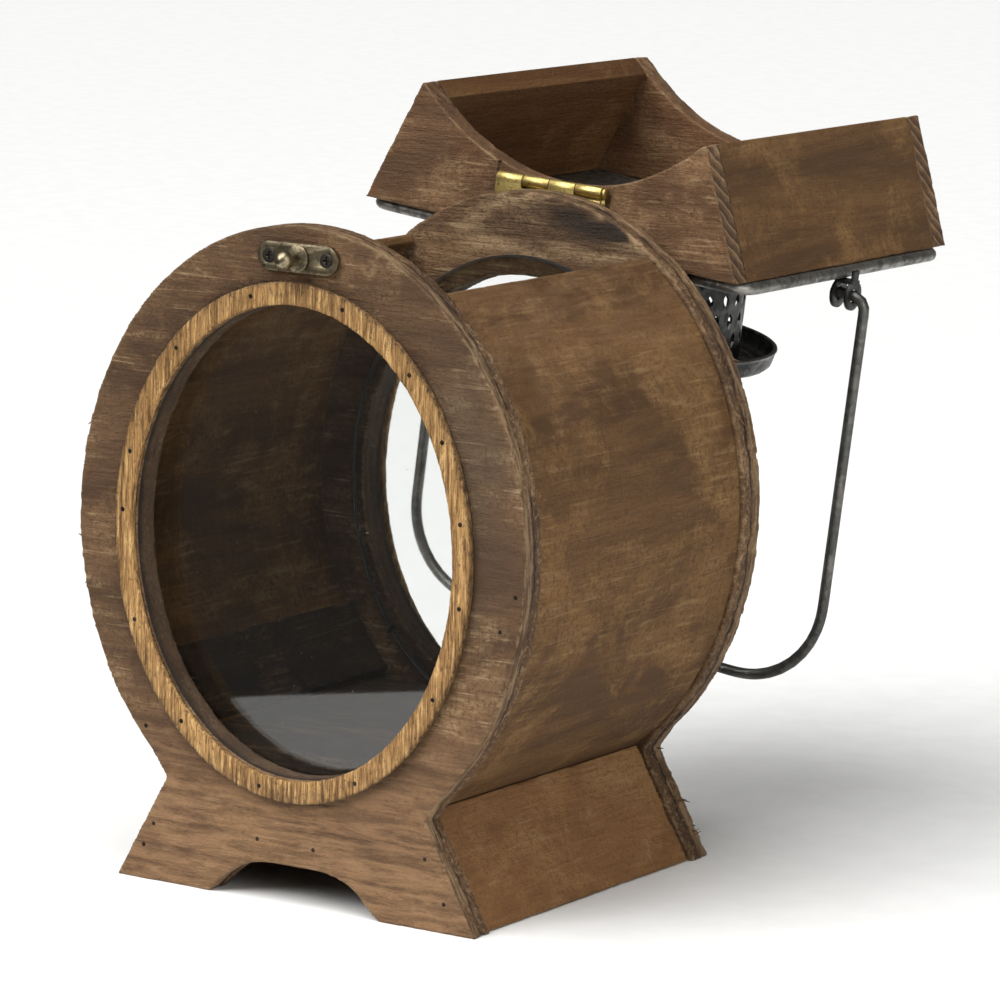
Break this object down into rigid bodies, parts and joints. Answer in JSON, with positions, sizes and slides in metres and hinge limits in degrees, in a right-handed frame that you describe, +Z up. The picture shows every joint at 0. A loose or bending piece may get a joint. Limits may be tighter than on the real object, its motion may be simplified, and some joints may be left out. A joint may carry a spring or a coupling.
{
  "type": "hanging lantern",
  "caption": "Wooden candle lantern with an oval glazed drum on a flared foot, a hinged hopper lid with a perforated metal vent, a hook latch and a swinging wire bail.",
  "frame": {"origin": "middle of the whole footprint with the lid thrown open, on the surface that the lantern stands on", "axes": "+Z up, -Y towards the front window, +Y towards the thrown-back lid, +X to the right seen from the front"},
  "size_m": [0.1894, 0.3062, 0.2509],
  "materials": {
    "stained_board": "brown stain, worn at the edges",
    "bent_ply": "thin bent plywood, brown stain, dull",
    "inner_wood": "dark, sooted",
    "oak_trim": "light oak, thin varnish",
    "window_glass": "clear, dusty",
    "hinge_brass": "bright, lightly tarnished",
    "aged_brass": "dark, aged",
    "galvanised_sheet": "dull galvanised",
    "dark_steel": "darkened, lightly rusted"
  },
  "bodies": {
    "case": {"front_board": "stained_board", "back_board": "stained_board", "side_skin_right": "bent_ply", "lining_strip_right": "inner_wood", "base_side_right": "stained_board", "side_skin_left": "bent_ply", "lining_strip_left": "inner_wood", "base_side_left": "stained_board", "floor_board": "inner_wood", "front_window_pane": "window_glass", "front_pane_sprig_1": "dark_steel", "front_pane_sprig_2": "dark_steel", "front_pane_sprig_3": "dark_steel", "front_pane_sprig_4": "dark_steel", "back_window_pane": "window_glass", "back_pane_sprig_1": "dark_steel", "back_pane_sprig_2": "dark_steel", "back_pane_sprig_3": "dark_steel", "back_pane_sprig_4": "dark_steel", "front_trim_ring": "oak_trim", "back_trim_ring": "oak_trim", "knob_plate": "aged_brass", "latch_knob": "aged_brass", "knob_plate_screw_right": "dark_steel", "knob_plate_screw_left": "dark_steel", "hinge_leaf_case": "hinge_brass", "hinge_case_screw_right": "hinge_brass", "hinge_case_screw_left": "hinge_brass", "hinge_pin": "hinge_brass"},
    "lid": {"lid_wall_rear": "stained_board", "lid_wall_front": "stained_board", "lid_wall_right": "stained_board", "lid_wall_left": "stained_board", "lid_plate": "galvanised_sheet", "plate_tack_right_1": "dark_steel", "plate_tack_right_2": "dark_steel", "plate_tack_right_3": "dark_steel", "plate_tack_left_1": "dark_steel", "plate_tack_left_2": "dark_steel", "plate_tack_left_3": "dark_steel", "vent_tube": "dark_steel", "vent_cap": "dark_steel", "hinge_leaf_lid": "hinge_brass", "hinge_lid_screw_right": "hinge_brass", "hinge_lid_screw_left": "hinge_brass", "hook_plate": "aged_brass", "hook_plate_screw_right": "dark_steel", "hook_plate_screw_left": "dark_steel", "hook_rivet": "aged_brass", "bail_eyelet_right": "dark_steel", "bail_eyelet_left": "dark_steel"},
    "hook": {"hook_arm": "aged_brass"},
    "bail": {"bail_handle": "dark_steel"}
  },
  "joints": [
    {"name": "lid_hinge", "type": "hinge", "parent": "case", "child": "lid", "pos_m": [0.00807, 0.00282, 0.22], "axis": [0.9982, 0, -0.0593], "range_deg": [0, 180]},
    {"name": "bail_swing", "type": "hinge", "parent": "lid", "child": "bail", "pos_m": [0.00466, 0.07612, 0.19145], "axis": [0.993, 0, -0.1184], "range_deg": [-28, 140]},
    {"name": "hook_swing", "type": "hinge", "parent": "lid", "child": "hook", "pos_m": [0.00695, 0.15092, 0.21067], "axis": [0, -1, 0], "range_deg": [-100, 173]}
  ]
}
